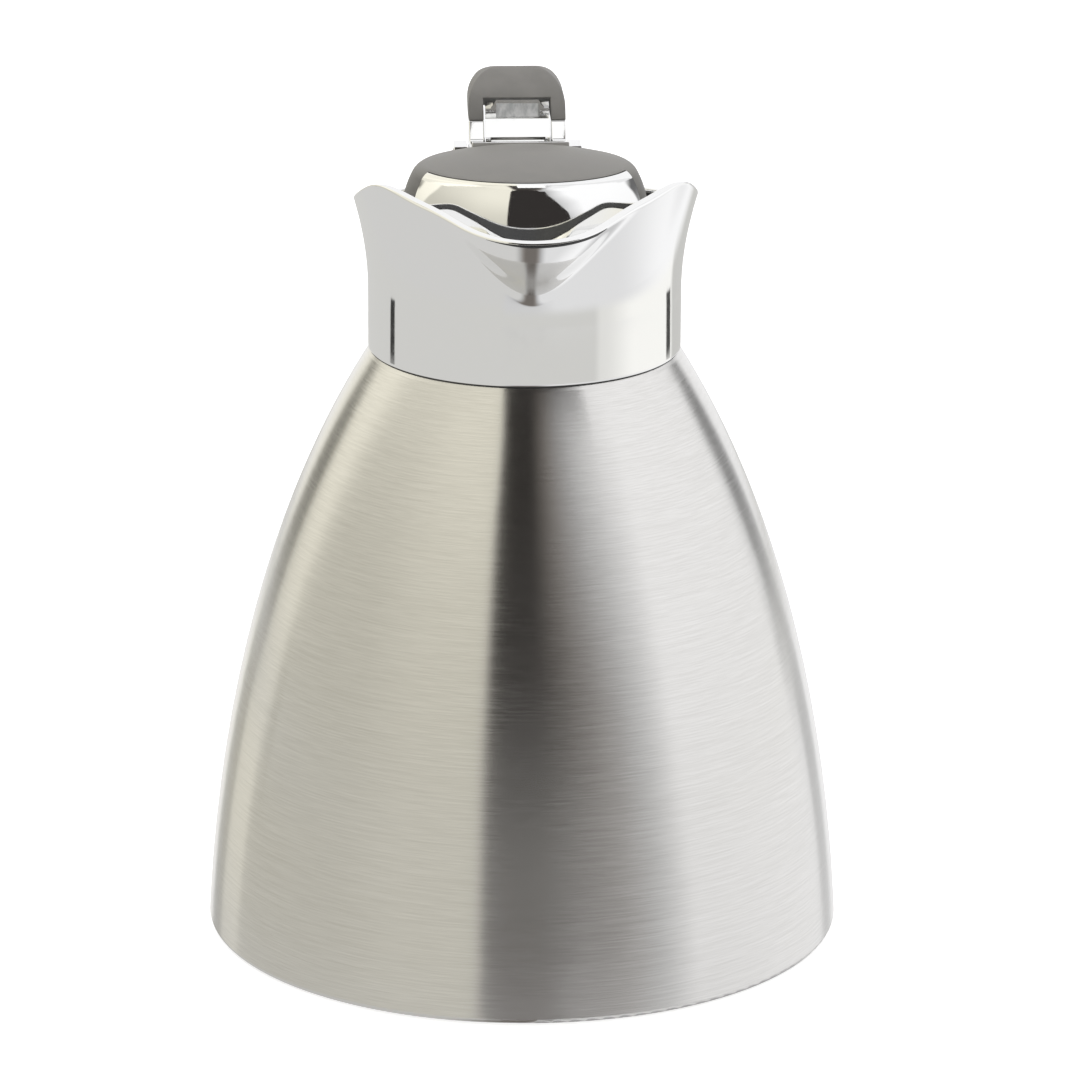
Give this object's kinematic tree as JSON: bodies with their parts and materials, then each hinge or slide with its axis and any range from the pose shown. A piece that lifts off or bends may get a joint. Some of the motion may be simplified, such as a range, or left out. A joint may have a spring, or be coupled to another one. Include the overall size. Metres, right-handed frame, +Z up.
{
  "type": "thermal carafe with flip lid",
  "caption": "Insulated steel serving carafe with a bell-shaped body, a polished pouring collar, a hinged flip lid with a thumb pad and a rear handle.",
  "frame": {"origin": "centre of the base, on the surface that the carafe stands on", "axes": "+Z up, -Y to the pouring beak, +Y to the hinge and the handle, +X to the right seen from the beak's side looking along +Y"},
  "size_m": [0.1608, 0.1871, 0.2108],
  "materials": {
    "brushed_steel": "brushed round the body, satin",
    "steel": "plain drawn steel",
    "solder": "dull",
    "foil": "bright",
    "getter": "matt",
    "black_rubber": "matt",
    "black_plastic": "matt",
    "silicone": "soft, matt",
    "chrome": "polished",
    "screw_steel": "turned",
    "soft_grey": "soft touch, satin",
    "window_plate": "brushed, dark",
    "foam": "foam"
  },
  "bodies": {
    "carafe": {"outer_shell": "brushed_steel", "outer_bottom": "steel", "vacuum_seal": "solder", "inner_flask": "steel", "inner_bottom": "steel", "heat_foil": "foil", "getter": "getter", "foot_ring": "black_rubber", "seam_ring": "black_rubber", "neck_ring": "black_plastic", "neck_gasket": "silicone", "pour_insert": "black_plastic", "collar": "chrome", "handle_plate": "steel", "handle_screws": "screw_steel", "handle_frame": "chrome", "handle_grip": "soft_grey", "hinge_bracket": "chrome", "bracket_screws": "screw_steel", "hinge_cap": "chrome", "cap_inlay": "window_plate", "hinge_pin": "screw_steel"},
    "lid": {"lever_frame": "chrome", "thumb_pad": "soft_grey", "arm_bushes": "black_plastic", "lid_shell": "chrome", "lid_cover": "soft_grey", "lid_core": "black_plastic", "lid_insulation": "foam", "lid_gasket": "silicone", "lid_base_plate": "steel", "base_plate_screw": "screw_steel", "lid_screws": "screw_steel"}
  },
  "joints": [
    {"name": "lid_hinge", "type": "hinge", "parent": "carafe", "child": "lid", "pos_m": [0, 0.0385, 0.1905], "axis": [-1, 0, 0], "range_deg": [0, 60]}
  ]
}
